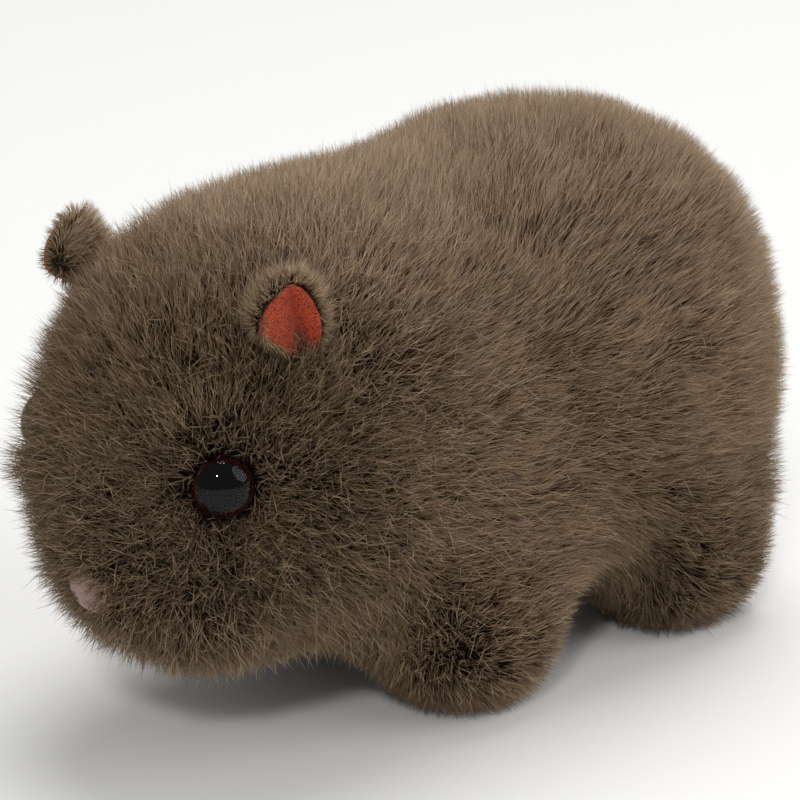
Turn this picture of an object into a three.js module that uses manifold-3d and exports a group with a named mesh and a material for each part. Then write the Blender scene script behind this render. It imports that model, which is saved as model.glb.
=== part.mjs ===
// A stuffed plush wombat standing on four stubby feet: a pile-fabric head, body, legs and ears,
// orange ear linings, domed plastic eyes and a padded felt nose.
// Millimetres, +Z up. The toy faces -Y and stands on z = 0, and its left side is +X.
// The soft solids reach out to the tips of the pile.
import * as THREE from 'three';
import { mergeVertices } from 'three/addons/utils/BufferGeometryUtils.js';
import Module from 'manifold-3d';

const wasm = await Module();
wasm.setup();

// Driving dimensions
const BODY_WIDTH = 105;
const BODY_HEIGHT = 119;
const FACE_FRONT = -96;
const RUMP_BACK = 96;
const BELLY_CLEARANCE = 11;
const CHIN_CLEARANCE = 14;
const SEAM_GAP = 0.3;

const TORSO = {
  halfWidth: BODY_WIDTH / 2, front: -21, back: RUMP_BACK,
  bottom: BELLY_CLEARANCE, widest: 54, top: BODY_HEIGHT, squareness: 2.34,
};
const SHOULDERS_AND_HEAD = {
  halfWidth: 46, front: -93, back: 36,
  bottom: CHIN_CLEARANCE, widest: 64, top: 114, squareness: 2.35,
};
const MUZZLE = {
  halfWidth: 31.5, front: FACE_FRONT, back: -49,
  bottom: 19, widest: 49.5, top: 80, squareness: 2.3,
};
const FRONT_LEG = {
  side: 26.5, halfWidth: 22.5, front: -36.5, back: 11,
  bottom: -1.6, widest: 20, top: 41.6, squareness: 2.4,
};
const REAR_LEG = {
  side: 31, halfWidth: 21, front: 28.5, back: 78,
  bottom: -2.9, widest: 22, top: 46.9, squareness: 2.5,
};
const BODY_FILLET = 18;
const MUZZLE_FILLET = 14;
const LEG_FILLET = 12;

const NECK = { top: -40, bottom: -43 };
const LEG_SEAM = { clearance: 2, shoulder: 24, dome: 44 };

const EYE = {
  diameter: 12.2, dome: 4.4, back: 2.2, backShare: 0.8, at: [31.5, 66.1], facing: 57, tiltUp: 0.1, sunk: 4,
};
// The parted pile round an eye
const EYE_HOLLOW = { flare: 2.6, depth: 6.5 };
const EAR = {
  at: [31.5, -64.5], sunk: 9.3, up: [0.2, -0.42, 0.88], facing: 54, tiltUp: 0.25,
  height: 20.5, halfWidth: 8.8, thickness: 9.5, backDrop: 2.5, backTaper: 0.2,
};
const LINING = { thickness: 1.2, height: 19.4, halfWidth: 7.4, rearLobe: 0.6, frontLift: 6.5 };
// Both leaves of an ear: the width of the root, where it swells, how blunt the tip is, and its two lobes
const LEAF = {
  rootWidth: 0.55, swell: 1.5, tipBluntness: 4, tipShare: 0.985,
  frontLobe: 1.14, rearLobe: 0.78, frontDrop: 0.2, fold: 0.46,
};
const NOSE = { halfWidth: 5.8, halfHeight: 5.2, halfDepth: 4, at: 38.5, pitch: 20, proud: 0.2 };
const NOSE_SQUARENESS = 2.4;
const NOSTRIL = { side: 2.5, drop: 0.9, radii: [1.5, 1.3, 1.2] };

// The body's surface grid, and how finely turned shapes are divided
const BODY_STEP = 6.2;
const BODY_ROOM = new THREE.Box3(new THREE.Vector3(-62, -107, -14), new THREE.Vector3(62, 107, 131));
const ARC_STEP = 15;
const SEAM_SIDES = 24;
const EYE_SIDES = 20;
const NOSE_GRID = [20, 12];
const NOSTRIL_GRID = [12, 8];
const LEAF_ROWS = { across: 10, upward: 7 };
const SURFACE_ROUNDS = 80;
const FAR = 150;

const rad = THREE.MathUtils.degToRad;

// A rounded form as a function of a point: negative inside, and about the distance off it elsewhere

function roundedForm({ side = 0, halfWidth, front, back, bottom, widest, top, squareness }) {
  const middle = (front + back) / 2;
  const halfLength = (back - front) / 2;
  return (x, y, z) => {
    const halfHeight = z > widest ? top - widest : widest - bottom;
    const radii = [halfWidth, halfLength, halfHeight];
    const share = [x - side, y - middle, z - widest].map((off, axis) => Math.abs(off) / radii[axis]);
    const reach = share.reduce((sum, part) => sum + part ** squareness, 0) ** (1 / squareness);
    if (reach === 0) return -Math.min(...radii);
    const slope = Math.hypot(...share.map((part, axis) => (part / reach) ** (squareness - 1) / radii[axis]));
    return (reach - 1) / slope;
  };
}

function mirrored(form) {
  return (x, y, z) => form(Math.abs(x), y, z);
}

function blended(first, second, fillet) {
  return (x, y, z) => {
    const a = first(x, y, z);
    const b = second(x, y, z);
    const near = Math.max(fillet - Math.abs(a - b), 0) / fillet;
    return Math.min(a, b) - near * near * fillet / 4;
  };
}

let stuffedBody = blended(roundedForm(TORSO), roundedForm(SHOULDERS_AND_HEAD), BODY_FILLET);
stuffedBody = blended(stuffedBody, roundedForm(MUZZLE), MUZZLE_FILLET);
stuffedBody = blended(stuffedBody, mirrored(roundedForm(FRONT_LEG)), LEG_FILLET);
stuffedBody = blended(stuffedBody, mirrored(roundedForm(REAR_LEG)), LEG_FILLET);

// The surface of a form: one point in each grid cell that it crosses, pulled onto it

function slopeAt(form, [x, y, z], reach) {
  return new THREE.Vector3(
    form(x + reach, y, z) - form(x - reach, y, z),
    form(x, y + reach, z) - form(x, y - reach, z),
    form(x, y, z + reach) - form(x, y, z - reach),
  ).divideScalar(2 * reach);
}

function pulledOnto(form, start, step) {
  const point = start.clone();
  for (let round = 0; round < 5; round++) {
    const slope = slopeAt(form, point.toArray(), step / 50);
    point.addScaledVector(slope, -form(...point.toArray()) / Math.max(slope.lengthSq(), 0.2));
  }
  return point.distanceTo(start) < step ? point : start;
}

function surfaceOf(form, box, step) {
  const low = box.min.toArray();
  const counts = box.getSize(new THREE.Vector3()).toArray().map((side) => Math.ceil(side / step) + 1);
  const place = (cell) => cell.map((count, axis) => low[axis] + count * step);
  const at = ([i, j, k]) => (k * counts[1] + j) * counts[0] + i;
  const plus = (cell, shift) => cell.map((count, axis) => count + shift[axis]);
  const values = new Float64Array(counts[0] * counts[1] * counts[2]);
  const cells = [];
  for (let k = 0; k < counts[2]; k++) {
    for (let j = 0; j < counts[1]; j++) {
      for (let i = 0; i < counts[0]; i++) {
        values[at([i, j, k])] = form(...place([i, j, k]));
        cells.push([i, j, k]);
      }
    }
  }
  const corners = [0, 1, 2, 3, 4, 5, 6, 7].map((n) => [n & 1, (n >> 1) & 1, n >> 2]);
  const edges = corners.flatMap((from, n) => corners.slice(n + 1)
    .filter((to) => to.filter((side, axis) => side !== from[axis]).length === 1)
    .map((to) => [from, to]));
  const positions = [];
  const pointNumbers = new Map();
  function pointIn(cell) {
    const key = at(cell);
    if (!pointNumbers.has(key)) {
      const crossings = [];
      for (const [from, to] of edges) {
        const a = values[at(plus(cell, from))];
        const b = values[at(plus(cell, to))];
        if ((a < 0) === (b < 0)) continue;
        const start = new THREE.Vector3().fromArray(place(plus(cell, from)));
        crossings.push(start.lerp(new THREE.Vector3().fromArray(place(plus(cell, to))), a / (a - b)));
      }
      const middle = new THREE.Vector3();
      for (const crossing of crossings) middle.addScaledVector(crossing, 1 / crossings.length);
      pointNumbers.set(key, positions.length / 3);
      positions.push(...pulledOnto(form, middle, step).toArray());
    }
    return pointNumbers.get(key);
  }
  const faces = [];
  const offset = (a, b) => [0, 1, 2].map((n) => positions[3 * a + n] - positions[3 * b + n]);
  const distance = (a, b) => Math.hypot(...offset(a, b));
  const inner = cells.filter((cell) => cell.every((count, axis) => count > 0 && count < counts[axis] - 1));
  for (const cell of inner) {
    for (let axis = 0; axis < 3; axis++) {
      const along = [0, 1, 2].map((n) => (n === axis ? 1 : 0));
      const inside = values[at(cell)] < 0;
      if (inside === values[at(plus(cell, along))] < 0) continue;
      const u = [0, 1, 2].map((n) => (n === (axis + 1) % 3 ? -1 : 0));
      const v = [0, 1, 2].map((n) => (n === (axis + 2) % 3 ? -1 : 0));
      const ring = [plus(plus(cell, u), v), plus(cell, v), cell, plus(cell, u)].map(pointIn);
      const [a, b, c, d] = inside ? ring : ring.reverse();
      if (distance(a, c) <= distance(b, d)) faces.push(a, b, c, a, c, d);
      else faces.push(a, b, d, b, c, d);
    }
  }
  const geometry = new THREE.BufferGeometry();
  geometry.setAttribute('position', new THREE.Float32BufferAttribute(positions, 3));
  geometry.setIndex(faces);
  return geometry;
}

// Closed solids that can be cut and joined

function solidOf(geometry) {
  const bare = geometry.clone();
  bare.deleteAttribute('normal');
  bare.deleteAttribute('uv');
  const merged = mergeVertices(bare, 1e-4);
  return new wasm.Manifold(new wasm.Mesh({
    numProp: 3,
    vertProperties: new Float32Array(merged.attributes.position.array),
    triVerts: new Uint32Array(merged.index.array),
  }));
}

function boxSolid(low, high) {
  const size = high.map((value, axis) => value - low[axis]);
  const middle = high.map((value, axis) => (value + low[axis]) / 2);
  return solidOf(new THREE.BoxGeometry(...size).translate(...middle));
}

function largestPiece(solid) {
  return solid.decompose().sort((a, b) => b.volume() - a.volume())[0];
}

function bodySolid(grown) {
  const form = (x, y, z) => stuffedBody(x, y, z) - grown;
  const floor = boxSolid([-FAR, -FAR, -FAR], [FAR, FAR, 0]);
  return solidOf(surfaceOf(form, BODY_ROOM, BODY_STEP)).subtract(floor);
}

// The head is everything ahead of a neck seam that leans a little
function aheadOfNeck(shift) {
  const profile = new THREE.Shape([
    new THREE.Vector2(-FAR, 0),
    new THREE.Vector2(NECK.bottom + shift, 0),
    new THREE.Vector2(NECK.top + shift, BODY_HEIGHT),
    new THREE.Vector2(-FAR, BODY_HEIGHT),
  ]);
  const slab = new THREE.ExtrudeGeometry(profile, { depth: 2 * FAR, bevelEnabled: false });
  slab.applyMatrix4(new THREE.Matrix4().makeBasis(
    new THREE.Vector3(0, 1, 0), new THREE.Vector3(0, 0, 1), new THREE.Vector3(1, 0, 0),
  ));
  return solidOf(slab.translate(-FAR, 0, 0));
}

// A leg is parted from the body by a domed seam round its top
function legCutter(leg, side, grown) {
  const halfLength = (leg.back - leg.front) / 2;
  const reach = 1 + (LEG_SEAM.clearance + grown) / leg.halfWidth;
  const lift = LEG_SEAM.dome - LEG_SEAM.shoulder + grown;
  const profile = [new THREE.Vector2(0, -FAR), new THREE.Vector2(1, -FAR)];
  for (let turn = 0; turn <= 90; turn += ARC_STEP) {
    profile.push(new THREE.Vector2(
      turn === 90 ? 0 : Math.cos(rad(turn)),
      LEG_SEAM.shoulder + lift * Math.sin(rad(turn)),
    ));
  }
  const dome = new THREE.LatheGeometry(profile, SEAM_SIDES).rotateX(Math.PI / 2);
  dome.scale(leg.halfWidth * reach, halfLength * reach, 1);
  return solidOf(dome.translate(side * leg.side, (leg.front + leg.back) / 2, 0));
}

// Eyes

function eyeShape() {
  const radius = EYE.diameter / 2;
  const profile = [
    new THREE.Vector2(0, -EYE.back),
    new THREE.Vector2(radius * EYE.backShare, -EYE.back),
  ];
  for (let turn = 0; turn <= 90; turn += ARC_STEP) {
    profile.push(new THREE.Vector2(
      turn === 90 ? 0 : radius * Math.cos(rad(turn)),
      EYE.dome * Math.sin(rad(turn)),
    ));
  }
  return new THREE.LatheGeometry(profile, EYE_SIDES).rotateX(Math.PI / 2);
}

function eyeHollow() {
  const radius = EYE.diameter / 2 + SEAM_GAP;
  const profile = [
    [0, -EYE.back - SEAM_GAP], [radius * EYE.backShare, -EYE.back - SEAM_GAP], [radius, 0],
    [radius + EYE_HOLLOW.flare, EYE_HOLLOW.depth], [0, EYE_HOLLOW.depth],
  ].map((pair) => new THREE.Vector2(...pair));
  return new THREE.LatheGeometry(profile, EYE_SIDES).rotateX(Math.PI / 2);
}

function facingMatrix(place, forward, up) {
  const w = forward.clone().normalize();
  const u = new THREE.Vector3().crossVectors(up, w).normalize();
  const v = new THREE.Vector3().crossVectors(w, u);
  return new THREE.Matrix4().makeBasis(u, v, w).setPosition(place);
}

// The point of the body's surface that is met coming in from outside along a direction
function surfacePoint(from, inward) {
  const point = from.clone();
  for (let round = 0; round < SURFACE_ROUNDS; round++) {
    point.addScaledVector(inward, stuffedBody(...point.toArray()) * 0.8);
  }
  return point;
}

function eyePlacing(side) {
  const aim = rad(EYE.facing);
  const forward = new THREE.Vector3(Math.sin(aim), -Math.cos(aim), EYE.tiltUp).normalize();
  const outside = new THREE.Vector3(EYE.at[0], -FAR, EYE.at[1]);
  const place = surfacePoint(outside, new THREE.Vector3(0, 1, 0)).addScaledVector(forward, -EYE.sunk);
  place.x *= side;
  forward.x *= side;
  return facingMatrix(place, forward, new THREE.Vector3(0, 0, 1));
}

// Ears: a folded leaf between two depths, across from lobe to lobe and up from root to tip

function earLeaf(side, { height, halfWidth, rearLobe, frontLift, behind, infront, drop, taper }) {
  const { across, upward } = LEAF_ROWS;
  const rowLength = across + 1;
  const positions = [];
  const faces = [];
  for (const depth of [infront, behind]) {
    for (let row = 0; row <= upward; row++) {
      const rise = row / upward;
      const narrowing = Math.sqrt(1 - (rise * LEAF.tipShare) ** LEAF.tipBluntness);
      const swelling = Math.sin(Math.min(Math.PI * rise ** LEAF.swell, Math.PI / 2));
      const breadth = narrowing * (LEAF.rootWidth + (1 - LEAF.rootWidth) * swelling);
      for (let column = 0; column <= across; column++) {
        const spread = 2 * column / across - 1;
        const lobe = spread < 0 ? LEAF.frontLobe : rearLobe;
        const narrowed = spread < 0 ? 1 : rearLobe / LEAF.rearLobe;
        const edge = Math.abs(spread);
        const atBack = depth === behind;
        const tall = (height - (atBack ? drop : 0)) * (spread < 0 ? 1 - LEAF.frontDrop * edge : 1);
        const thin = atBack ? 1 - taper * Math.max(edge, rise) ** 3 : 1;
        positions.push(
          spread * halfWidth * lobe * breadth * side,
          rise * tall + (spread < 0 ? frontLift * edge * (1 - rise) : 0),
          LEAF.fold * narrowed * edge * halfWidth * breadth + depth * thin,
        );
      }
    }
  }
  const sheet = rowLength * (upward + 1);
  function quad(a, b, c, d) {
    if (side > 0) faces.push(a, b, c, a, c, d);
    else faces.push(a, c, b, a, d, c);
  }
  for (let row = 0; row < upward; row++) {
    for (let column = 0; column < across; column++) {
      const n = row * rowLength + column;
      quad(n, n + 1, n + 1 + rowLength, n + rowLength);
      quad(sheet + n + rowLength, sheet + n + 1 + rowLength, sheet + n + 1, sheet + n);
    }
  }
  for (let column = 0; column < across; column++) {
    const top = upward * rowLength + column;
    quad(sheet + column, sheet + column + 1, column + 1, column);
    quad(top, top + 1, sheet + top + 1, sheet + top);
  }
  for (let row = 0; row < upward; row++) {
    const first = row * rowLength;
    const last = first + across;
    quad(sheet + first, first, first + rowLength, sheet + first + rowLength);
    quad(last, sheet + last, sheet + last + rowLength, last + rowLength);
  }
  const geometry = new THREE.BufferGeometry();
  geometry.setAttribute('position', new THREE.Float32BufferAttribute(positions, 3));
  geometry.setIndex(faces);
  return geometry;
}

function earPlacing(side) {
  const aim = rad(EAR.facing);
  const forward = new THREE.Vector3(side * Math.sin(aim), -Math.cos(aim), EAR.tiltUp);
  const up = new THREE.Vector3(side * EAR.up[0], EAR.up[1], EAR.up[2]).normalize();
  const u = new THREE.Vector3().crossVectors(up, forward).normalize();
  const w = new THREE.Vector3().crossVectors(u, up);
  const above = new THREE.Vector3(side * EAR.at[0], EAR.at[1], BODY_HEIGHT);
  const root = surfacePoint(above, new THREE.Vector3(0, 0, -1)).addScaledVector(up, -EAR.sunk);
  return new THREE.Matrix4().makeBasis(u, up, w).setPosition(root);
}

const earShape = (side) => earLeaf(side, {
  height: EAR.height, halfWidth: EAR.halfWidth, rearLobe: LEAF.rearLobe, frontLift: 0,
  infront: -SEAM_GAP, behind: -EAR.thickness, drop: EAR.backDrop, taper: EAR.backTaper,
});
const liningShape = (side) => earLeaf(side, {
  height: LINING.height, halfWidth: LINING.halfWidth, rearLobe: LINING.rearLobe, frontLift: LINING.frontLift,
  infront: LINING.thickness, behind: 0, drop: 0, taper: 0,
});

// Nose

function nosePad(grown) {
  const pad = new THREE.SphereGeometry(1, ...NOSE_GRID);
  const places = pad.attributes.position;
  const radii = new THREE.Vector3(NOSE.halfWidth, NOSE.halfHeight, NOSE.halfDepth).addScalar(grown);
  for (let n = 0; n < places.count; n++) {
    const spot = new THREE.Vector3().fromBufferAttribute(places, n);
    const reach = spot.toArray().reduce((sum, part) => sum + Math.abs(part) ** NOSE_SQUARENESS, 0);
    spot.multiply(radii).divideScalar(reach ** (1 / NOSE_SQUARENESS));
    places.setXYZ(n, spot.x, spot.y, spot.z);
  }
  return pad;
}

function nostrilCutter(side) {
  const dimple = new THREE.SphereGeometry(1, ...NOSTRIL_GRID).scale(...NOSTRIL.radii);
  return dimple.translate(side * NOSTRIL.side, -NOSTRIL.drop, NOSE.halfDepth);
}

function nosePlacing() {
  const forward = new THREE.Vector3(0, -Math.cos(rad(NOSE.pitch)), -Math.sin(rad(NOSE.pitch)));
  const place = surfacePoint(new THREE.Vector3(0, -FAR, NOSE.at), new THREE.Vector3(0, 1, 0));
  place.addScaledVector(forward, NOSE.proud - NOSE.halfDepth);
  return facingMatrix(place, forward, new THREE.Vector3(0, 0, 1));
}

// Putting the toy together

const sides = [['left', 1], ['right', -1]];
const plush = new THREE.MeshStandardMaterial({ color: '#6f5d4a', roughness: 0.95, metalness: 0 });
const orangeLining = new THREE.MeshStandardMaterial({ color: '#b9441f', roughness: 0.85, metalness: 0 });
const darkPlastic = new THREE.MeshStandardMaterial({ color: '#0d0807', roughness: 0.08, metalness: 0 });
const noseFelt = new THREE.MeshStandardMaterial({ color: '#86685f', roughness: 0.9, metalness: 0 });

const wombat = new THREE.Group();

function addPiece(name, solid, material) {
  const { vertProperties, triVerts } = largestPiece(solid).getMesh();
  const geometry = new THREE.BufferGeometry();
  geometry.setAttribute('position', new THREE.BufferAttribute(vertProperties, 3));
  geometry.setIndex(new THREE.BufferAttribute(triVerts, 1));
  const mesh = new THREE.Mesh(geometry, material);
  mesh.name = name;
  wombat.add(mesh);
}

const whole = bodySolid(0);
const wholeWithGap = bodySolid(SEAM_GAP);
let head = whole.intersect(aheadOfNeck(-SEAM_GAP));
let torso = whole.subtract(aheadOfNeck(0));

for (const [legName, leg] of [['front', FRONT_LEG], ['rear', REAR_LEG]]) {
  for (const [sideName, side] of sides) {
    addPiece(`leg_${legName}_${sideName}`, whole.intersect(legCutter(leg, side, 0)), plush);
    torso = torso.subtract(legCutter(leg, side, SEAM_GAP));
  }
}

for (const [sideName, side] of sides) {
  const eyePlace = eyePlacing(side);
  addPiece(`eye_${sideName}`, solidOf(eyeShape().applyMatrix4(eyePlace)), darkPlastic);
  head = head.subtract(solidOf(eyeHollow().applyMatrix4(eyePlace)));

  const earPlace = earPlacing(side);
  const ear = solidOf(earShape(side).applyMatrix4(earPlace)).subtract(wholeWithGap);
  addPiece(`ear_${sideName}`, ear, plush);
  const lining = solidOf(liningShape(side).applyMatrix4(earPlace)).subtract(wholeWithGap);
  addPiece(`ear_lining_${sideName}`, lining, orangeLining);
}

const nosePlace = nosePlacing();
let nose = solidOf(nosePad(0).applyMatrix4(nosePlace));
for (const [, side] of sides) nose = nose.subtract(solidOf(nostrilCutter(side).applyMatrix4(nosePlace)));
addPiece('nose', nose, noseFelt);
head = head.subtract(solidOf(nosePad(SEAM_GAP).applyMatrix4(nosePlace)));
addPiece('head', head, plush);
addPiece('torso', torso, plush);

// The origin goes under the middle of the whole length, nose to rump
const extent = new THREE.Box3().setFromObject(wombat);
wombat.position.y = -(extent.min.y + extent.max.y) / 2;

export default wombat;
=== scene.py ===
"""A stuffed plush wombat: pile fabric over a stuffed body, cupped ears lined with orange velour,
safety eyes with a clear dome over a painted back, and a padded felt nose. Metres, +Z up, facing -Y."""
import math

import bpy
import numpy as np
from mathutils import Matrix, Vector
from mathutils.kdtree import KDTree


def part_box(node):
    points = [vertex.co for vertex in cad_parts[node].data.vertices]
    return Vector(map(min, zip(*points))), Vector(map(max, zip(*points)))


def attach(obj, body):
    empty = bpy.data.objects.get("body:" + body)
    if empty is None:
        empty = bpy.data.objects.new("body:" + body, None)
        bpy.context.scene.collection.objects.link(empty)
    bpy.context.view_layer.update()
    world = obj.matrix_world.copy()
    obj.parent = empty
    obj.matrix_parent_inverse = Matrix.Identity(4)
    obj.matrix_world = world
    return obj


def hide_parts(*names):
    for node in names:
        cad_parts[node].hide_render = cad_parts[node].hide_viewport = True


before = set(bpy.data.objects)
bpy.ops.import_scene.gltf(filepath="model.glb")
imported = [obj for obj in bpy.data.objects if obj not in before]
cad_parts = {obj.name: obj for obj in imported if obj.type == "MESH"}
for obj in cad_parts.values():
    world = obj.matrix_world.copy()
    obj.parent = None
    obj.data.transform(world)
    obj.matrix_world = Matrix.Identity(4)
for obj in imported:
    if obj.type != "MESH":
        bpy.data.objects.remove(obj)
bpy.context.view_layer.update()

MM = 0.001
SIDES = {"left": 1, "right": -1}
STUFFED_NODES = ["head", "torso"] + [f"leg_{end}_{side}" for end in ("front", "rear") for side in SIDES]

# The pile, as it is cut and as it lies
PILE_DEPTH = 8.2 * MM
PILE_DEPTH_AT_EYE = 5.0 * MM
PILE_DEPTH_AT_NOSE = 5.2 * MM
PILE_DEPTH_ON_FEET = 5.0 * MM
PILE_DEPTH_UNDER_FEET = 2.6 * MM
PILE_DEPTH_ON_EARS = 6.2 * MM
PILE_LEAN = 23
# Strands are longer than the pile is deep, because they lean and bend
STRAND_REACH = 1.24
STRAY_REACH = 1.42
SHORTEST_STRAND = 1.2 * MM
FLOOR_CLEARANCE = 0.25 * MM
# Where a strand's root starts on the root-to-tip colours, whose dark end is painted shade between the
# strands
ROOT_SHADE = 0.34

# How far from an eye, the nose and the ground the pile grows from its short to its full depth
FULL_FROM_EYE = (6 * MM, 12 * MM)
FULL_FROM_NOSE = (6 * MM, 20 * MM)
FULL_UP_LEG = (6 * MM, 34 * MM)
FULL_UP_FOOT = (0, 9 * MM)

# Strands, which are drawn several times as thick as real fibres, so that they show
STRAND_WIDTH = 0.27 * MM
STRAIGHT_TUFTS = 186_000
BENT_TUFTS = 42_000
STRAY_HAIRS = 16_000
EAR_TUFTS = 7_000
CLUMPS = 5_500
CLUMPING = 0.26
TRIANGLE_LIMIT = 195_000
BAKE_PATCH = 0.003

# How finely the skin and the nose are remeshed
SKIN_VOXEL = 2.2 * MM
NOSE_VOXEL = 0.4 * MM

# The nose sits this far back, so that the pile overhangs it
NOSE_RECESS = 1.9 * MM

# An ear is a folded leaf with its own directions: across it, up it and out of its front
EAR_UP = (0.2, -0.42, 0.88)
EAR_FACING = 54
EAR_TILT_UP = 0.25
EAR_LINING_HEIGHT = 19.4 * MM
EAR_FOLD = 0.46
EAR_LOBES = (8.4 * MM, 4.4 * MM)
EAR_FRONT_LIFT = 6.5 * MM
EAR_CREASE = 1.5 * MM
EAR_LINING_SHEET = (0.9 * MM, 0.3 * MM)
EAR_BACK_SHEET = (0.4 * MM, -2.4 * MM)
EAR_BACK_PALER = 1.7

# The part of a lining that strands keep off: from its front lobe to its rear one, between two heights,
# of which the lower one falls towards the rear, and out in front of it
LINING_CLEAR_ACROSS = (-8.6 * MM, 5 * MM)
LINING_CLEAR_UP = (11 * MM, 20 * MM)
LINING_CLEAR_FALL = 1.1
LINING_CLEAR_AHEAD = 6 * MM

# Eyes, whose place comes from their CAD boxes
EYE_RADIUS = 6.1 * MM
EYE_DOME = 4.4 * MM
EYE_BACK = 2.2 * MM
EYE_FACING = 57
EYE_SETTLED = 0.8 * MM
EYE_TILT_UP = 0.1
EYE_SIDES = 48
EYE_PAINT_SHARE = 0.96
EYE_BACK_SHARE = 0.8
EYE_CLEAR_SHARE = 0.94
EYE_CLEAR_AHEAD = 20 * MM

# Strands keep off a narrow upright strip of the nose, as shares of its half sizes, up to this height
NOSE_CLEAR = (0.28, 2.2, 0.8)
NOSE_CLEAR_UP = 3 * MM

# The camera's place in the photo
CAMERA_ROUND = 44.7
CAMERA_UP = 18.5
CAMERA_DISTANCE = 0.55
CAMERA_AIM = Vector((0, -4.2 * MM, 58.5 * MM))
CAMERA_LENS = 113.85


# Small tools

def linear(hex_colour):
    """An sRGB hex colour as linear RGBA."""
    channels = [int(hex_colour[n:n + 2], 16) / 255 for n in (1, 3, 5)]
    return [c / 12.92 if c <= 0.04045 else ((c + 0.055) / 1.055) ** 2.4 for c in channels] + [1.0]


def add_node(tree, kind, links=None, **settings):
    """Adds a shader node, sets its inputs and properties by name, and links sockets into it."""
    node = tree.nodes.new(kind)
    for name, value in settings.items():
        socket = node.inputs.get(name.replace("_", " "))
        if socket is not None:
            socket.default_value = value
        else:
            setattr(node, name, value)
    for place, source in (links or {}).items():
        tree.links.new(source, node.inputs[place])
    return node


def set_ramp(node, stops):
    """Gives a colour ramp its stops, as (place, hex colour) pairs."""
    ramp = node.color_ramp
    while len(ramp.elements) < len(stops):
        ramp.elements.new(1.0)
    for element, (place, colour) in zip(ramp.elements, stops):
        element.position = place
        element.color = linear(colour)


def new_material(name):
    material = bpy.data.materials.new(name)
    material.use_nodes = True
    material.node_tree.nodes.clear()
    return material, material.node_tree


def show(tree, shader):
    output = add_node(tree, "ShaderNodeOutputMaterial")
    tree.links.new(shader, output.inputs["Surface"])


def add_piece(name, mesh, material):
    piece = bpy.data.objects.new(name, mesh)
    bpy.context.scene.collection.objects.link(piece)
    mesh.materials.clear()
    mesh.materials.append(material)
    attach(piece, "root")
    return piece


def unit(vectors):
    return vectors / np.maximum(np.linalg.norm(vectors, axis=-1, keepdims=True), 1e-12)


def smoothstep(low, high, values):
    share = np.clip((values - low) / (high - low), 0, 1)
    return share * share * (3 - 2 * share)


def waves(points, size, seed):
    """Smooth pseudo-random values between about -1 and 1, one for each point, of a given patch size."""
    rng = np.random.default_rng(seed)
    total = np.zeros(len(points))
    for _ in range(7):
        heading = unit(rng.normal(size=3))
        pace = 2 * math.pi / (size * rng.uniform(1.4, 3.2))
        total += np.sin(points @ heading * pace + rng.uniform(0, 2 * math.pi))
    return total / 3.2


def coordinates(mesh):
    places = np.zeros(len(mesh.vertices) * 3)
    mesh.vertices.foreach_get("co", places)
    return places.reshape(-1, 3)


def vertex_normals(mesh):
    normals = np.zeros(len(mesh.vertices) * 3)
    mesh.vertex_normals.foreach_get("vector", normals)
    return normals.reshape(-1, 3)


def eased(mesh, rounds, share=0.5):
    """Smooths a mesh by moving each vertex part of the way to the middle of its neighbours."""
    places = coordinates(mesh)
    ends = np.zeros(len(mesh.edges) * 2, np.int64)
    mesh.edges.foreach_get("vertices", ends)
    a, b = ends.reshape(-1, 2).T
    neighbours = np.bincount(np.concatenate([a, b]), minlength=len(places))[:, None]
    for _ in range(rounds):
        total = np.zeros_like(places)
        for axis in range(3):
            total[:, axis] = np.bincount(a, places[b, axis], len(places))
            total[:, axis] += np.bincount(b, places[a, axis], len(places))
        places += (total / neighbours - places) * share
    mesh.vertices.foreach_set("co", places.ravel())
    mesh.update()


def one_closed_surface(name, nodes, voxel):
    """One closed mesh over several CAD solids, with the thin gaps between them closed."""
    places, faces, start = [], [], 0
    for node in nodes:
        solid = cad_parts[node].data
        places += [tuple(v.co) for v in solid.vertices]
        faces += [tuple(start + n for n in p.vertices) for p in solid.polygons]
        start += len(solid.vertices)
    rough = bpy.data.meshes.new(name + "_rough")
    rough.from_pydata(places, [], faces)
    holder = bpy.data.objects.new(name + "_rough", rough)
    bpy.context.scene.collection.objects.link(holder)
    remesh = holder.modifiers.new("closing", "REMESH")
    remesh.mode = "VOXEL"
    remesh.voxel_size = voxel
    bpy.context.view_layer.update()
    evaluated = holder.evaluated_get(bpy.context.evaluated_depsgraph_get())
    mesh = bpy.data.meshes.new_from_object(evaluated)
    mesh.name = name
    bpy.data.objects.remove(holder)
    bpy.data.meshes.remove(rough)
    mesh.polygons.foreach_set("use_smooth", [True] * len(mesh.polygons))
    return mesh


# Where the eyes, the ears and the nose sit

def eye_placing(side):
    """Centre of the eye's rim, the direction it faces, and the two directions across it."""
    low, high = (np.array(corner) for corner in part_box(f"eye_{side}"))
    sign = SIDES[side]
    forward = unit(np.array([
        sign * math.sin(math.radians(EYE_FACING)), -math.cos(math.radians(EYE_FACING)), EYE_TILT_UP,
    ]))
    across = unit(np.cross([0, 0, 1], forward))
    rise = np.cross(forward, across)
    middle = (low + high) / 2
    front = (coordinates(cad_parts[f"eye_{side}"].data) @ forward).max()
    return middle + forward * (front - EYE_DOME - EYE_SETTLED - middle @ forward), forward, across, rise


def ear_placing(side):
    """The root of an ear's leaf, and the directions out of its front, across it and up it."""
    sign = SIDES[side]
    up = unit(np.array([sign * EAR_UP[0], EAR_UP[1], EAR_UP[2]]))
    forward = np.array([
        sign * math.sin(math.radians(EAR_FACING)), -math.cos(math.radians(EAR_FACING)), EAR_TILT_UP,
    ])
    across = unit(np.cross(up, forward))
    front = np.cross(across, up)
    places = coordinates(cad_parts[f"ear_lining_{side}"].data)
    heights = places @ up
    top = places[heights > heights.max() - 0.02 * MM]
    tip = top[np.argmin(top @ front)]
    return tip - up * EAR_LINING_HEIGHT, front, across, up


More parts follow.
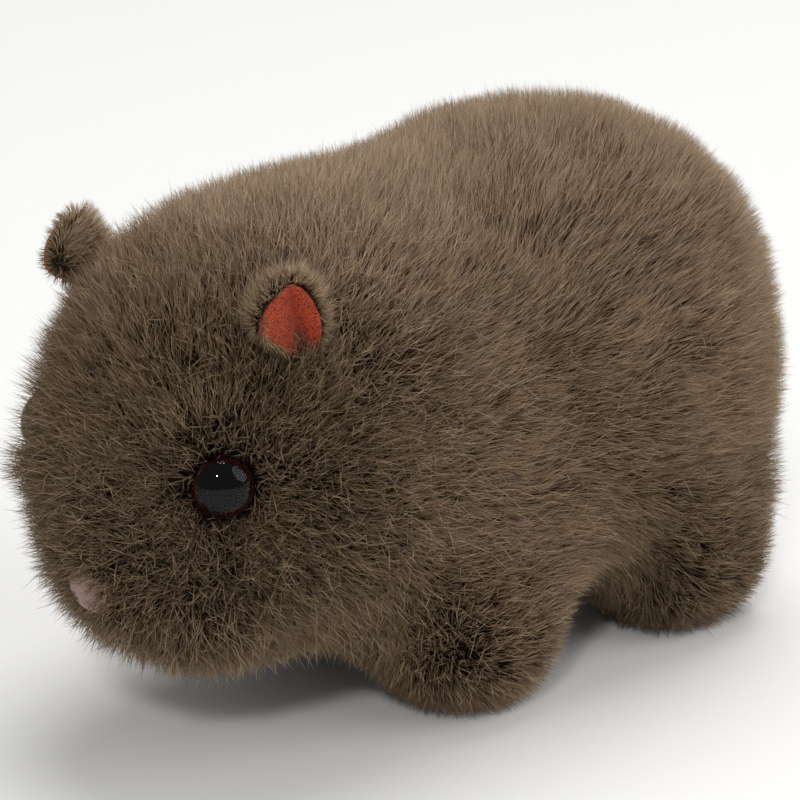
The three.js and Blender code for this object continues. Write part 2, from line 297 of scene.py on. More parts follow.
eyes = {side: eye_placing(side) for side in SIDES}
ears = {side: ear_placing(side) for side in SIDES}
nose_low, nose_high = (np.array(corner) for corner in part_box("nose"))
nose_centre = (nose_low + nose_high) / 2


def on_ear(points, side):
    """Points in an ear's own directions: across it towards its rear lobe, up it and out of its front."""
    root, front, across, up = ears[side]
    offset = points - root
    return np.stack([offset @ across * SIDES[side], offset @ up, offset @ front], -1)


# Camera and studio

def set_camera():
    around, up = math.radians(CAMERA_ROUND), math.radians(CAMERA_UP)
    back = Vector((math.sin(around) * math.cos(up), -math.cos(around) * math.cos(up), math.sin(up)))
    camera = bpy.data.cameras.new("camera")
    camera.lens = CAMERA_LENS
    camera.sensor_width = 36
    camera.clip_start = 0.01
    holder = bpy.data.objects.new("camera", camera)
    holder.location = CAMERA_AIM + back * CAMERA_DISTANCE
    holder.rotation_euler = back.to_track_quat("Z", "Y").to_euler()
    bpy.context.scene.collection.objects.link(holder)
    bpy.context.scene.camera = holder


def add_softbox(name, place, size, power):
    light = bpy.data.lights.new(name, "AREA")
    light.shape = "DISK"
    light.size = size
    light.energy = power
    holder = bpy.data.objects.new(name, light)
    holder.location = place
    holder.rotation_euler = (Vector(place) - CAMERA_AIM).to_track_quat("Z", "Y").to_euler()
    bpy.context.scene.collection.objects.link(holder)


def set_studio():
    world = bpy.data.worlds.new("white_room")
    world.use_nodes = True
    world.node_tree.nodes["Background"].inputs["Color"].default_value = linear("#f4f6f8")
    world.node_tree.nodes["Background"].inputs["Strength"].default_value = 0.36
    bpy.context.scene.world = world
    bpy.context.scene.view_settings.view_transform = "Standard"
    add_softbox("overhead_softbox", (-0.5, 0.9, 3.0), 2.4, 62.0)
    add_softbox("side_softbox", (1.7, 1.2, 1.3), 2.2, 20.0)
    add_softbox("window_softbox", (0.67, -0.92, 0.92), 0.2, 5.5)
    mesh = bpy.data.meshes.new("floor")
    reach = 4.0
    mesh.from_pydata([(-reach, -reach, 0), (reach, -reach, 0), (reach, reach, 0), (-reach, reach, 0)],
                     [], [(0, 1, 2, 3)])
    floor = bpy.data.objects.new("floor", mesh)
    bpy.context.scene.collection.objects.link(floor)
    material, tree = new_material("matt_white_paper_sweep")
    paper = add_node(tree, "ShaderNodeBsdfPrincipled", Base_Color=linear("#f3f2f0"), Roughness=0.9)
    show(tree, paper.outputs["BSDF"])
    mesh.materials.append(material)


# Materials

def coat_shade(tree):
    """What each vertex carries: X its place from root to tip, Y its strand's chance value and Z its tone."""
    marks = add_node(tree, "ShaderNodeAttribute", attribute_name="pile")
    return add_node(tree, "ShaderNodeSeparateXYZ", {"Vector": marks.outputs["Vector"]})


def acrylic_pile():
    """Cut acrylic pile, dyed brown, paler and slightly shiny at the sheared tips. It darkens towards the
    roots as painted shade deep between the strands, so the coat looks darkest where the eye looks straight
    down into it."""
    material, tree = new_material("cut_acrylic_pile")
    parts = coat_shade(tree)
    along = add_node(tree, "ShaderNodeValToRGB", {"Fac": parts.outputs["X"]})
    # Both ramps start near black at the root: painted shade between the strands
    set_ramp(along, [(0.0, "#120a05"), (0.38, "#302012"), (0.68, "#614930"), (1.0, "#8d7456")])
    pale = add_node(tree, "ShaderNodeValToRGB", {"Fac": parts.outputs["X"]})
    set_ramp(pale, [(0.0, "#20140b"), (0.35, "#624c33"), (0.65, "#9c8264"), (1.0, "#c8b092")])
    dyed = add_node(tree, "ShaderNodeMix", data_type="RGBA")
    pick = add_node(tree, "ShaderNodeMapRange", {"Value": parts.outputs["Y"]},
                    From_Min=0.55, From_Max=1.0, To_Min=0.0, To_Max=0.9)
    tree.links.new(pick.outputs["Result"], dyed.inputs["Factor"])
    tree.links.new(along.outputs["Color"], dyed.inputs["A"])
    tree.links.new(pale.outputs["Color"], dyed.inputs["B"])
    richer = add_node(tree, "ShaderNodeMapRange", {"Value": parts.outputs["Z"]},
                      From_Min=0.75, From_Max=1.0, To_Min=1.14, To_Max=1.0)
    toned = add_node(tree, "ShaderNodeHueSaturation", {
        "Color": dyed.outputs["Result"], "Saturation": richer.outputs["Result"], "Value": parts.outputs["Z"],
    })
    strand = add_node(tree, "ShaderNodeBsdfPrincipled", {"Base Color": toned.outputs["Color"]},
                      Roughness=0.5, IOR=1.49)
    show(tree, strand.outputs["BSDF"])
    return material


def knitted_backing():
    """The knitted backing cloth that the pile is rooted in. Its loops are drawn about 1 mm across, and it
    is seen only between the strands, where its near-black brown is painted shade as well as the cloth's
    colour."""
    material, tree = new_material("knitted_backing_with_painted_shade")
    parts = coat_shade(tree)
    place = add_node(tree, "ShaderNodeTexCoord")
    loops = add_node(tree, "ShaderNodeTexNoise", {"Vector": place.outputs["Object"]},
                     Scale=900.0, Detail=2.0)
    shade = add_node(tree, "ShaderNodeValToRGB", {"Fac": loops.outputs["Fac"]})
    # Near-black browns: the backing's colour darkened as painted shade between the strands
    set_ramp(shade, [(0.3, "#1a100a"), (0.7, "#33231a")])
    toned = add_node(tree, "ShaderNodeHueSaturation", {
        "Color": shade.outputs["Color"], "Value": parts.outputs["Z"],
    })
    bump = add_node(tree, "ShaderNodeBump", {"Height": loops.outputs["Fac"]}, Distance=0.0004, Strength=0.6)
    cloth = add_node(tree, "ShaderNodeBsdfPrincipled", {
        "Base Color": toned.outputs["Color"], "Normal": bump.outputs["Normal"],
    }, Roughness=0.95)
    show(tree, cloth.outputs["BSDF"])
    return material


def orange_velour():
    """Fine knit velour in burnt orange. Its loops are about 0.3 mm apart, which gives a speckle of
    bright loop tops over red-brown gaps, darkened as painted shade between the loops."""
    material, tree = new_material("knit_velour_orange")
    place = add_node(tree, "ShaderNodeTexCoord")
    loop_size_mm = 0.32
    loops = add_node(tree, "ShaderNodeTexVoronoi", {"Vector": place.outputs["Object"]},
                     Scale=1000 / loop_size_mm)
    blotch = add_node(tree, "ShaderNodeTexNoise", {"Vector": place.outputs["Object"]},
                      Scale=420.0, Detail=2.0)
    shade = add_node(tree, "ShaderNodeValToRGB", {"Fac": loops.outputs["Distance"]})
    # Bright loop tops over gaps darkened to red-brown as painted shade
    set_ramp(shade, [(0.0, "#d35726"), (0.42, "#aa3a16"), (0.85, "#551408")])
    worn = add_node(tree, "ShaderNodeMapRange", {"Value": blotch.outputs["Fac"]},
                    From_Min=0.3, From_Max=0.7, To_Min=0.8, To_Max=1.12)
    toned = add_node(tree, "ShaderNodeHueSaturation", {
        "Color": shade.outputs["Color"], "Value": worn.outputs["Result"],
    })
    bump = add_node(tree, "ShaderNodeBump", {"Height": loops.outputs["Distance"]},
                    Distance=0.00012, Strength=0.7, invert=True)
    cloth = add_node(tree, "ShaderNodeBsdfPrincipled", {
        "Base Color": toned.outputs["Color"], "Normal": bump.outputs["Normal"],
    }, Roughness=0.85, Sheen_Weight=0.05, Sheen_Roughness=0.4)
    show(tree, cloth.outputs["BSDF"])
    return material


def clear_dome():
    """Clear moulded acrylic: a colourless polished dome that magnifies the paint behind it. Its IOR is
    matched below acrylic's 1.49, so that the white floor shows in it as dimly as the photo's does."""
    material, tree = new_material("clear_moulded_acrylic")
    clear = add_node(tree, "ShaderNodeBsdfPrincipled", Base_Color=linear("#ffffff"),
                     Roughness=0.015, IOR=1.3, Transmission_Weight=1.0)
    show(tree, clear.outputs["BSDF"])
    return material


def painted_eye_back():
    """Paint bonded to the back of the dome: a black pupil in a dark red-brown iris, with a black rim.
    It has no shine of its own, because the clear acrylic lies right against it."""
    material, tree = new_material("painted_eye_back")
    ring = add_node(tree, "ShaderNodeAttribute", attribute_name="ring")
    paint = add_node(tree, "ShaderNodeValToRGB", {"Fac": ring.outputs["Fac"]})
    pupil, iris, rim = "#030202", ("#1c0804", "#2a0d07"), "#0a0403"
    set_ramp(paint, [(0.0, pupil), (0.7, pupil), (0.78, iris[0]), (0.92, iris[1]), (0.97, rim)])
    lacquer = add_node(tree, "ShaderNodeBsdfPrincipled", {"Base Color": paint.outputs["Color"]},
                       Roughness=0.35, Specular_IOR_Level=0.0)
    show(tree, lacquer.outputs["BSDF"])
    return material


def nose_felt():
    """Pressed wool felt in a pinkish brown: matt, faintly mottled, with a short nap of fibres. They are
    drawn about 0.3 mm across, ten times their real size, so that the nap shows."""
    material, tree = new_material("pressed_wool_felt")
    place = add_node(tree, "ShaderNodeTexCoord")
    fibres = add_node(tree, "ShaderNodeTexNoise", {"Vector": place.outputs["Object"]},
                      Scale=3200.0, Detail=3.0)
    shade = add_node(tree, "ShaderNodeValToRGB", {"Fac": fibres.outputs["Fac"]})
    set_ramp(shade, [(0.3, "#7c615a"), (0.7, "#a68a80")])
    bump = add_node(tree, "ShaderNodeBump", {"Height": fibres.outputs["Fac"]},
                    Distance=0.00015, Strength=0.8)
    felt = add_node(tree, "ShaderNodeBsdfPrincipled", {
        "Base Color": shade.outputs["Color"], "Normal": bump.outputs["Normal"],
    }, Roughness=0.9, Sheen_Weight=0.25)
    show(tree, felt.outputs["BSDF"])
    return material


# The stuffed skin under the pile

def pile_depth(points):
    """How deep the pile is at points on the outside: short round the eyes and nose and on the feet."""
    depth = np.full(len(points), PILE_DEPTH)
    for centre, short, reach in [
        (eyes["left"][0], PILE_DEPTH_AT_EYE, FULL_FROM_EYE),
        (eyes["right"][0], PILE_DEPTH_AT_EYE, FULL_FROM_EYE),
        (nose_centre, PILE_DEPTH_AT_NOSE, FULL_FROM_NOSE),
    ]:
        away = np.linalg.norm(points - centre, axis=1)
        depth = np.minimum(depth, short + (PILE_DEPTH - short) * smoothstep(*reach, away))
    height = points[:, 2]
    for short, reach in [(PILE_DEPTH_ON_FEET, FULL_UP_LEG), (PILE_DEPTH_UNDER_FEET, FULL_UP_FOOT)]:
        depth = np.minimum(depth, short + (PILE_DEPTH - short) * smoothstep(*reach, height))
    return depth


def unwrap(mesh):
    """Lays the skin out flat, so that each strand can carry its root's place in the layout."""
    holder = bpy.data.objects.new(mesh.name + "_layout", mesh)
    bpy.context.scene.collection.objects.link(holder)
    bpy.context.view_layer.objects.active = holder
    holder.select_set(True)
    bpy.ops.object.mode_set(mode="EDIT")
    bpy.ops.mesh.select_all(action="SELECT")
    bpy.ops.uv.smart_project(angle_limit=math.radians(70), island_margin=0.004)
    bpy.ops.object.mode_set(mode="OBJECT")
    mesh.uv_layers[0].name = "OFBake"
    bpy.data.objects.remove(holder)


def stuffed_skin():
    """The stuffed cloth under the pile: the solids joined, smoothed and drawn in by the pile's depth."""
    mesh = one_closed_surface("stuffed_skin", STUFFED_NODES + ["eye_left", "eye_right", "nose"], SKIN_VOXEL)
    eased(mesh, 10)
    depths = pile_depth(coordinates(mesh))
    stages = 4
    for _ in range(stages):
        moved = coordinates(mesh) - vertex_normals(mesh) * depths[:, None] / stages
        mesh.vertices.foreach_set("co", moved.ravel())
        mesh.update()
        eased(mesh, 2)
    return mesh


def tone_at(points):
    """How pale the pile is: darker on the brow, cheeks and back, paler on the muzzle, chin, flanks and lower
    body, with painted shade on the haunches and rear legs, where the fold in front of them lies in shade.
    Each place fades in over the distance between its two edges."""
    back = smoothstep(70 * MM, 112 * MM, points[:, 2]) * smoothstep(-70 * MM, 0, points[:, 1])
    flank = smoothstep(-45 * MM, -15 * MM, points[:, 1]) * smoothstep(95 * MM, 70 * MM, points[:, 2])
    brow = smoothstep(-48 * MM, -66 * MM, points[:, 1]) * smoothstep(60 * MM, 85 * MM, points[:, 2])
    cheek = smoothstep(-35 * MM, -55 * MM, points[:, 1]) * smoothstep(80 * MM, 55 * MM, points[:, 2])
    # Painted shade over the haunches and rear legs, in the fold in front of them
    painted_haunch_shade = smoothstep(0, 20 * MM, points[:, 1]) * smoothstep(66 * MM, 34 * MM, points[:, 2])
    chin = smoothstep(36 * MM, 20 * MM, points[:, 2]) * smoothstep(-40 * MM, -60 * MM, points[:, 1])
    muzzle = np.maximum(chin, smoothstep(-82 * MM, -94 * MM, points[:, 1]))
    low = smoothstep(66 * MM, 36 * MM, points[:, 2])
    return (1.0 - 0.08 * back + 0.16 * flank - 0.22 * brow - 0.10 * cheek - 0.18 * painted_haunch_shade + 0.26 * muzzle
            + 0.10 * low + 0.06 * waves(points, 12 * MM, 5))


def painted_root_shade_at(points):
    """How much painted shade darkens the roots, as shade deep in the pile: fully on the face and legs, less
    on the back.
    """
    face = smoothstep(-25 * MM, -60 * MM, points[:, 1]) * smoothstep(108 * MM, 88 * MM, points[:, 2])
    legs = smoothstep(46 * MM, 26 * MM, points[:, 2])
    return np.maximum(face, 0.85 * legs)


def mark_mesh(mesh, shades, chances, tones):
    """Stores on each vertex its place between root and tip colours, its strand's chance value and tone."""
    marks = mesh.attributes.new("pile", "FLOAT_VECTOR", "POINT")
    marks.data.foreach_set("vector", np.stack([shades, chances, tones], 1).astype(np.float32).ravel())


# Strands

def roots_on(mesh, count, weigh, seed):
    """Seeded random places on a mesh, with their normals and their places in its layout."""
    rng = np.random.default_rng(seed)
    mesh.calc_loop_triangles()
    total = len(mesh.loop_triangles)
    corners = np.zeros(total * 3, np.int64)
    loops = np.zeros(total * 3, np.int64)
    mesh.loop_triangles.foreach_get("vertices", corners)
    mesh.loop_triangles.foreach_get("loops", loops)
    corners, loops = corners.reshape(-1, 3), loops.reshape(-1, 3)
    places, normals = coordinates(mesh), vertex_normals(mesh)
    layout = np.zeros(len(mesh.loops) * 2)
    mesh.uv_layers["OFBake"].data.foreach_get("uv", layout)
    layout = layout.reshape(-1, 2)
    a, b, c = (places[corners[:, n]] for n in range(3))
    area = np.linalg.norm(np.cross(b - a, c - a), axis=1) / 2
    chance = area * weigh((a + b + c) / 3)
    picked = rng.choice(total, count, p=chance / chance.sum())
    u, v = np.sqrt(rng.random(count)), rng.random(count)
    shares = np.stack([1 - u, u * (1 - v), u * v], 1)[:, :, None]
    return (
        (places[corners[picked]] * shares).sum(1),
        unit((normals[corners[picked]] * shares).sum(1)),
        (layout[loops[picked]] * shares).sum(1),
        rng,
    )


def off_the_features(points, lean):
    """Turns the lie away from the eyes, and in over the edge of the nose."""
    for rim, forward, _, _ in eyes.values():
        spread = points - rim
        spread = spread - (spread @ forward)[:, None] * forward
        pull = (1 - smoothstep(6 * MM, 10 * MM, np.linalg.norm(spread, axis=1)))[:, None]
        pull = pull * (np.linalg.norm(points - rim, axis=1) < 25 * MM)[:, None]
        lean = lean * (1 - pull) + 0.45 * pull * unit(spread)
    spread = points - nose_centre
    spread[:, 1] *= 0.3
    pull = (1 - smoothstep(6 * MM, 12 * MM, np.linalg.norm(points - nose_centre, axis=1)))[:, None]
    return lean * (1 - pull) - 0.25 * pull * unit(spread)


def lie_of_pile(points, normals):
    """Which way the pile leans: up the sides and back over the top, and flat backwards underneath."""
    under = smoothstep(-0.15, -0.75, normals[:, 2])[:, None]
    upward = np.array([0.0, 0.25, 1.0])
    backward = np.array([0.0, 1.9, 0.0])
    lean = upward * (1 - under) + backward * under
    swirl = np.stack([waves(points, 9 * MM, seed) for seed in (11, 12, 13)], 1)
    lean = off_the_features(points, lean + 0.5 * swirl)
    return lean - (lean * normals).sum(1, keepdims=True) * normals


def tangle(points):
    """How tangled the pile is: most on the face and the front legs, least on the back and flanks."""
    front = smoothstep(-10 * MM, -60 * MM, points[:, 1])
    low = smoothstep(85 * MM, 40 * MM, points[:, 2])
    return 0.19 + 0.24 * front * low + 0.08 * front


def centre_lines(roots, normals, lengths, lean, curl, rng, steps):
    """The middle line of each strand, from its root to its tip."""
    steady = lie_of_pile(roots, normals)
    loose = (tangle(roots) * curl)[:, None]
    jitter, bend = (rng.normal(size=roots.shape) * loose for _ in range(2))
    tilt = math.tan(math.radians(lean))
    lines = [roots]
    for step in range(1, steps + 1):
        share = step / steps if steps > 1 else 0.5
        heading = normals + steady * tilt * (0.6 + 0.8 * share) + jitter + bend * 1.4 * share
        lines.append(lines[-1] + unit(heading) * (lengths / steps)[:, None])
    return np.stack(lines, 1)


def gathered(lines, clumps):
    """Draws the tips of neighbouring strands together, as pile does where it has been stroked."""
    tree = KDTree(len(clumps))
    for number, place in enumerate(clumps):
        tree.insert(place, number)
    tree.balance()
    nearest = np.array([tree.find(place)[1] for place in lines[:, 0]])
    size = np.bincount(nearest, minlength=len(clumps))[:, None]
    mean_tips = np.zeros((len(clumps), 3))
    for axis in range(3):
        mean_tips[:, axis] = np.bincount(nearest, lines[:, -1, axis], len(clumps))
    mean_tips /= np.maximum(size, 1)
    steps = lines.shape[1] - 1
    pull = CLUMPING * (0.6 + 0.8 * np.abs(waves(lines[:, 0], 10 * MM, 31)))[:, None]
    toward = (mean_tips[nearest] - lines[:, -1]) * np.minimum(pull, 0.8)
    for step in range(1, steps + 1):
        lines[:, step] += toward * (step / steps) ** 1.5
    return lines


def strand_mesh(name, lines, widths, layouts, marks, rng):
    """Closed, three-sided, tapering strands, each with a patch of the layout at its root's place."""
    count, points = lines.shape[:2]
    rings = points - 1
    heading = unit(lines[:, -1] - lines[:, 0])
    across = unit(np.cross(heading, rng.normal(size=(count, 3))))
    over = np.cross(heading, across)
    taper = 1 - 0.7 * (np.arange(rings) / rings) ** 1.6
    verts = []
    for ring in range(rings):
        for side in range(3):
            turn = 2 * math.pi * side / 3
            offset = across * math.cos(turn) + over * math.sin(turn)
            verts.append(lines[:, ring] + offset * (widths * taper[ring] * 0.5)[:, None])
    verts.append(lines[:, -1])
    per_strand = len(verts)
    verts = np.stack(verts, 1)
    verts[:, :, 2] = np.maximum(verts[:, :, 2], FLOOR_CLEARANCE)
    pattern = [(2, 1, 0)]
    for ring in range(rings - 1):
        for side in range(3):
            a, b = ring * 3 + side, ring * 3 + (side + 1) % 3
            pattern += [(a, b, b + 3), (a, b + 3, a + 3)]
    last = (rings - 1) * 3
    pattern += [(last + side, last + (side + 1) % 3, rings * 3) for side in range(3)]
    pattern = np.array(pattern)
    corners = (pattern[None] + (np.arange(count) * per_strand)[:, None, None]).reshape(-1)
    mesh = bpy.data.meshes.new(name)
    mesh.vertices.add(count * per_strand)
    mesh.vertices.foreach_set("co", verts.astype(np.float32).ravel())
    mesh.loops.add(len(corners))
    mesh.loops.foreach_set("vertex_index", corners.astype(np.int32))
    mesh.polygons.add(count * len(pattern))
    mesh.polygons.foreach_set("loop_start", np.arange(0, len(corners), 3, dtype=np.int32))
    mesh.polygons.foreach_set("use_smooth", np.ones(count * len(pattern), bool))
    mesh.update(calc_edges=True)
    along = np.append(np.repeat(np.arange(rings) / rings, 3), 1.0)
    floor, chances, tones = (np.repeat(mark, per_strand) for mark in marks)
    mark_mesh(mesh, floor + (1 - floor) * np.tile(along, count), chances, tones)
    round_it = np.append(np.tile([0.0, 0.5, 1.0], rings), 0.5)
    patch = np.stack([along - 0.5, round_it - 0.5], 1) * BAKE_PATCH
    flat = (layouts[:, None, :] + patch[None, pattern.reshape(-1), :]).reshape(-1, 2)
    mesh.uv_layers.new(name="OFBake").data.foreach_set("uv", flat.astype(np.float32).ravel())
    return mesh


def clear_of_features(lines):
    """Which strands stay out of the eyes, the ears' linings and the middle of the nose."""
    keep = np.ones(len(lines), bool)
    for rim, forward, _, _ in eyes.values():
        offset = lines - rim
        depth = offset @ forward
        off_axis = np.linalg.norm(offset - depth[..., None] * forward, axis=2)
        over_eye = (off_axis < EYE_RADIUS * EYE_CLEAR_SHARE) & (depth > -EYE_BACK)
        keep &= ~(over_eye & (depth < EYE_CLEAR_AHEAD)).any(1)
    for side in SIDES:
        aside, rise, ahead = np.moveaxis(on_ear(lines, side), -1, 0)
        foremost, rearmost = LINING_CLEAR_ACROSS
        lowest, highest = LINING_CLEAR_UP
        over_lining = (aside > foremost) & (aside < rearmost)
        over_lining &= (rise > lowest - LINING_CLEAR_FALL * aside) & (rise < highest)
        front = ahead - EAR_FOLD * np.abs(aside)
        keep &= ~(over_lining & (front > 0) & (front < LINING_CLEAR_AHEAD)).any(1)
    half = (nose_high - nose_low) / 2
    share = (lines - nose_centre) / (half * np.array(NOSE_CLEAR))
    on_nose = (np.linalg.norm(share, axis=2) < 1) & (lines[..., 2] < nose_centre[2] + NOSE_CLEAR_UP)
    return keep & ~on_nose.any(1)


def even(points):
    return np.ones(len(points))


def mostly_in_front(points):
    return 0.2 + smoothstep(0.0, -60 * MM, points[:, 1])


def fullness(points):
    """The pile is longer beside the nose, and on the side of each eye that is nearer to the nose."""
    more = smoothstep(10 * MM, 6 * MM, np.linalg.norm(points - nose_centre, axis=1)) * 0.3
    for side, placing in eyes.items():
        offset = points - placing[0]
        inner = smoothstep(0, -5 * MM, offset[:, 0] * SIDES[side])
        more = more + 0.5 * inner * smoothstep(16 * MM, 9 * MM, np.linalg.norm(offset, axis=1))
    return 1 + more


def pile_length(points, normals):
    return pile_depth(points) * fullness(points) * STRAND_REACH * (1 + 0.07 * waves(points, 10 * MM, 21))


def stray_length(points, normals):
    return pile_depth(points) * STRAY_REACH


def ear_length(points, normals):
    """Full length on the back of an ear, and shorter at its rim, so that the lining stays in sight."""
    nearest = min(SIDES, key=lambda name: np.abs(points[:, 0] - ears[name][0][0]).mean())
    _, front, _, up = ears[nearest]
    rim = np.maximum(smoothstep(0.1, 0.9, normals @ up), smoothstep(-0.5, 0.2, normals @ front))
    return PILE_DEPTH_ON_EARS * (1 - 0.5 * rim)


def off_the_lining(normals, layouts, front):
    """Which roots are on the back of an ear or at its rim, and not under its lining."""
    edge = np.maximum(np.abs(layouts[:, 0] % 0.5 - 0.25) / 0.24, layouts[:, 1])
    return (normals @ front < 0.25) | (edge > 0.93)


def grow(prefix, skin, material, count, seed, length_of=pile_length, weigh=even, width=STRAND_WIDTH,
         curl=1.0, steps=1, clumped=True, chance_from=0.0, floor=ROOT_SHADE, root_shade_strength=1.0, paler=1.0,
         ear_front=None):
    """Grows strands over a skin and joins them into pieces that are each under the triangle limit. On an
    ear, whose front is then given, they keep off the lining and lean over its edge."""
    roots, normals, layouts, rng = roots_on(skin, count, weigh, seed)
    lengths = length_of(roots, normals) * rng.uniform(0.86, 1.1, count)
    keep = lengths > SHORTEST_STRAND
    if ear_front is not None:
        keep &= off_the_lining(normals, layouts, ear_front)
        at_rim = smoothstep(-0.7, -0.1, normals @ ear_front)[:, None]
        normals = unit(normals + 0.8 * at_rim * ear_front)
    lines = centre_lines(roots, normals, lengths, PILE_LEAN, curl, rng, steps)
    if clumped:
        lines = gathered(lines, roots[:CLUMPS * count // (STRAIGHT_TUFTS + BENT_TUFTS) + 50])
    keep &= clear_of_features(lines)
    lines, layouts, roots = lines[keep], layouts[keep], roots[keep]
    total = len(lines)
    widths = width * rng.uniform(0.75, 1.25, total)
    # Roots on the face and legs start further down the colours, into the painted shade
    floors = floor * (1 - root_shade_strength * painted_root_shade_at(roots))
    chances = chance_from + (1 - chance_from) * rng.random(total)
    tones = tone_at(roots) * paler * rng.uniform(0.92, 1.08, total)
    per_strand = 4 + 6 * (steps - 1)
    pieces = math.ceil(total / (TRIANGLE_LIMIT // per_strand))
    order = np.argsort(roots[:, 1], kind="stable")
    for number, part in enumerate(np.array_split(order, pieces), 1):
        name = f"{prefix}_{number}"
        marks = (floors[part], chances[part], tones[part])
        mesh = strand_mesh(name, lines[part], widths[part], layouts[part], marks, rng)
        add_piece(name, mesh, material)
    return total * per_strand


# Turned and folded shapes

def lathe(name, profile, sides, placing):
    """A closed turned mesh from (radius, height) points, whose ends are on the axis."""
    rim, forward, across, rise = placing
    verts, rings = [], []
    for radius, height in profile:
        if radius == 0:
            rings.append([len(verts)])
            verts.append(rim + forward * height)
            continue
        rings.append(list(range(len(verts), len(verts) + sides)))
        for n in range(sides):
            turn = 2 * math.pi * n / sides
            verts.append(rim + forward * height + radius * (across * math.cos(turn) + rise * math.sin(turn)))
    faces = []
    for low, high in zip(rings, rings[1:]):
        for n in range(sides):
            m = (n + 1) % sides
            if len(low) == 1:
                faces.append((low[0], high[m], high[n]))
            elif len(high) == 1:
                faces.append((low[n], low[m], high[0]))
            else:
                faces.append((low[n], low[m], high[m], high[n]))
    mesh = bpy.data.meshes.new(name)
    mesh.from_pydata([tuple(v) for v in verts], [], faces)
    mesh.polygons.foreach_set("use_smooth", [True] * len(mesh.polygons))
    return mesh


def folded_leaf(name, side, height, lobes, sheet_depths):
    """A closed leaf with a crease up its middle. Its lobes fold forward, and it is laid out as a grid."""
    root, ahead, across, up = ears[side]
    columns, rows = 25, 17
    spread = np.linspace(-1, 1, columns)[None, :]
    rise = np.linspace(0, 1, rows)[:, None]
    swelling = np.sin(np.minimum(math.pi * rise ** 1.5, math.pi / 2))
    breadth = np.sqrt(1 - (rise * 0.985) ** 4) * (0.55 + 0.45 * swelling)
    aside = spread * np.where(spread < 0, *lobes) * breadth
    tall = rise * height * np.where(spread < 0, 1 - 0.02 * np.abs(spread), 1.0)
    tall = tall + EAR_FRONT_LIFT * np.maximum(-spread, 0) * (1 - rise)
    cup = EAR_FOLD * np.abs(aside) - EAR_CREASE * np.exp(-np.abs(aside) / (1.2 * MM)) * (1 - rise ** 4)
    sheets = []
    for depth in sheet_depths:
        place = (aside * SIDES[side])[..., None] * across + tall[..., None] * up
        place = place + (cup + depth)[..., None] * ahead
        sheets.append(root + place.reshape(-1, 3))
    sheet = columns * rows
    faces = []
    for row in range(rows - 1):
        for column in range(columns - 1):
            a = row * columns + column
            b, c, d = a + 1, a + 1 + columns, a + columns
            faces += [(a, b, c, d), (sheet + d, sheet + c, sheet + b, sheet + a)]
    edge = list(range(columns)) + [columns * (n + 1) - 1 for n in range(1, rows)]
    edge += [sheet - 1 - n for n in range(1, columns)] + [columns * n for n in range(rows - 2, 0, -1)]
    faces += [(m, n, sheet + n, sheet + m) for n, m in zip(edge, edge[1:] + edge[:1])]
    if SIDES[side] < 0:
        faces = [face[::-1] for face in faces]
    mesh = bpy.data.meshes.new(name)
    mesh.from_pydata([tuple(v) for v in np.concatenate(sheets)], [], faces)
    mesh.polygons.foreach_set("use_smooth", [True] * len(mesh.polygons))
    flat = np.stack(np.broadcast_arrays(spread * 0.24 + 0.25, rise * 0.96 + 0.02), -1).reshape(-1, 2)
    flat = np.concatenate([flat, flat + [0.5, 0]])
    loops = np.zeros(len(mesh.loops), np.int64)
    mesh.loops.foreach_get("vertex_index", loops)
    mesh.uv_layers.new(name="OFBake").data.foreach_set("uv", flat[loops].astype(np.float32).ravel())
    return mesh


# Putting the toy together

def dress_body(pile, backing):
    """The stuffed skin and all the strands that grow from it. Gives back how many triangles they have."""
    mesh = stuffed_skin()
    unwrap(mesh)
    places = coordinates(mesh)
    nothing = np.zeros(len(places))
    mark_mesh(mesh, nothing, nothing, tone_at(places))
    skin = add_piece("stuffed_skin", mesh, backing)
    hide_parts(*STUFFED_NODES)
    triangles = grow("pile", mesh, pile, STRAIGHT_TUFTS, 101)
    triangles += grow("bent_pile", mesh, pile, BENT_TUFTS, 102, curl=1.4, steps=2, width=STRAND_WIDTH * 1.1)
    return triangles + grow(
        "stray_hair", mesh, pile, STRAY_HAIRS, 202, length_of=stray_length, weigh=mostly_in_front,
        width=STRAND_WIDTH * 0.92, curl=3.0, steps=3, clumped=False, chance_from=0.92,
    )


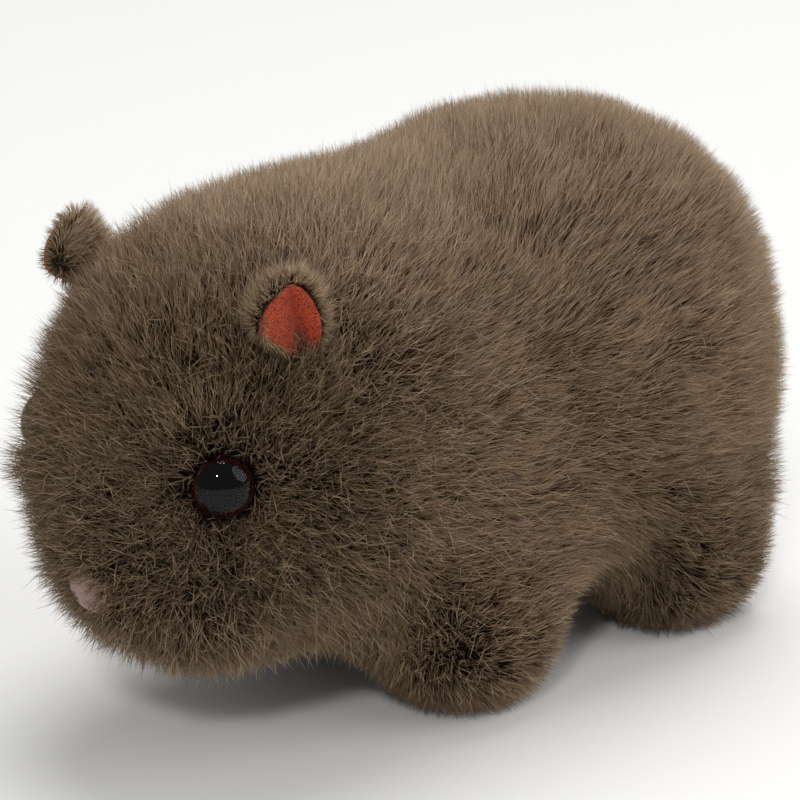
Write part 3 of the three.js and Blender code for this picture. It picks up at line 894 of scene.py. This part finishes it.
def fit_eye(side, clear, paint):
    """A clear dome, and inside it the painted back, which knows how far each vertex is from its middle."""
    placing = eyes[side]
    dome_profile = [(0, -EYE_BACK), (EYE_RADIUS * EYE_BACK_SHARE, -EYE_BACK)]
    dome_profile += [
        (EYE_RADIUS * math.cos(turn), EYE_DOME * math.sin(turn)) for turn in np.radians(np.arange(0, 90, 6))
    ]
    dome_profile.append((0, EYE_DOME))
    dome_mesh = lathe(f"eye_dome_{side}", dome_profile, EYE_SIDES, placing)
    dome = add_piece(f"eye_dome_{side}", dome_mesh, clear)
    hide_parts(f"eye_{side}")
    paint_radius = EYE_RADIUS * EYE_PAINT_SHARE
    paint_back = -EYE_BACK * EYE_BACK_SHARE
    back_profile = [(0, paint_back), (paint_radius * EYE_BACK_SHARE, paint_back)]
    back_profile += [(paint_radius * share, 0.0) for share in np.linspace(1, 0.08, 12)]
    back_profile.append((0, 0.0))
    back_mesh = lathe(f"eye_paint_{side}", back_profile, EYE_SIDES, placing)
    offset = coordinates(back_mesh) - placing[0]
    off_axis = np.linalg.norm(offset - (offset @ placing[1])[:, None] * placing[1], axis=1)
    rings = back_mesh.attributes.new("ring", "FLOAT", "POINT")
    rings.data.foreach_set("value", (off_axis / paint_radius).astype(np.float32))
    add_piece(f"eye_paint_{side}", back_mesh, paint)


def fit_nose(felt):
    mesh = one_closed_surface("nose_pad", ["nose"], NOSE_VOXEL)
    eased(mesh, 5)
    mesh.transform(Matrix.Translation((0, NOSE_RECESS, 0)))
    pad = add_piece("nose_pad", mesh, felt)
    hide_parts("nose")


def fit_ear(side, velour, pile, backing):
    """An ear's velour lining, its back and the pile on that. Gives back the strands' triangles."""
    lining_mesh = folded_leaf(f"ear_velour_{side}", side, EAR_LINING_HEIGHT, EAR_LOBES, EAR_LINING_SHEET)
    lining = add_piece(f"ear_velour_{side}", lining_mesh, velour)
    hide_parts(f"ear_lining_{side}")
    back_lobes = [lobe - 0.2 * MM for lobe in EAR_LOBES]
    back_mesh = folded_leaf(
        f"ear_back_{side}", side, EAR_LINING_HEIGHT - 0.5 * MM, back_lobes, EAR_BACK_SHEET,
    )
    nothing = np.zeros(len(back_mesh.vertices))
    mark_mesh(back_mesh, nothing, nothing, EAR_BACK_PALER * tone_at(coordinates(back_mesh)))
    back = add_piece(f"ear_back_{side}", back_mesh, backing)
    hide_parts(f"ear_{side}")
    return grow(f"ear_pile_{side}", back_mesh, pile, EAR_TUFTS, 303, length_of=ear_length, curl=1.2,
                floor=0.7, root_shade_strength=0.0, paler=1.22, ear_front=ears[side][1])


set_camera()
set_studio()

pile_material = acrylic_pile()
backing_material = knitted_backing()
strand_triangles = dress_body(pile_material, backing_material)

dome_material = clear_dome()
paint_material = painted_eye_back()
for side in SIDES:
    fit_eye(side, dome_material, paint_material)

fit_nose(nose_felt())

velour_material = orange_velour()
for side in SIDES:
    strand_triangles += fit_ear(side, velour_material, pile_material, backing_material)

print("strand triangles", strand_triangles)
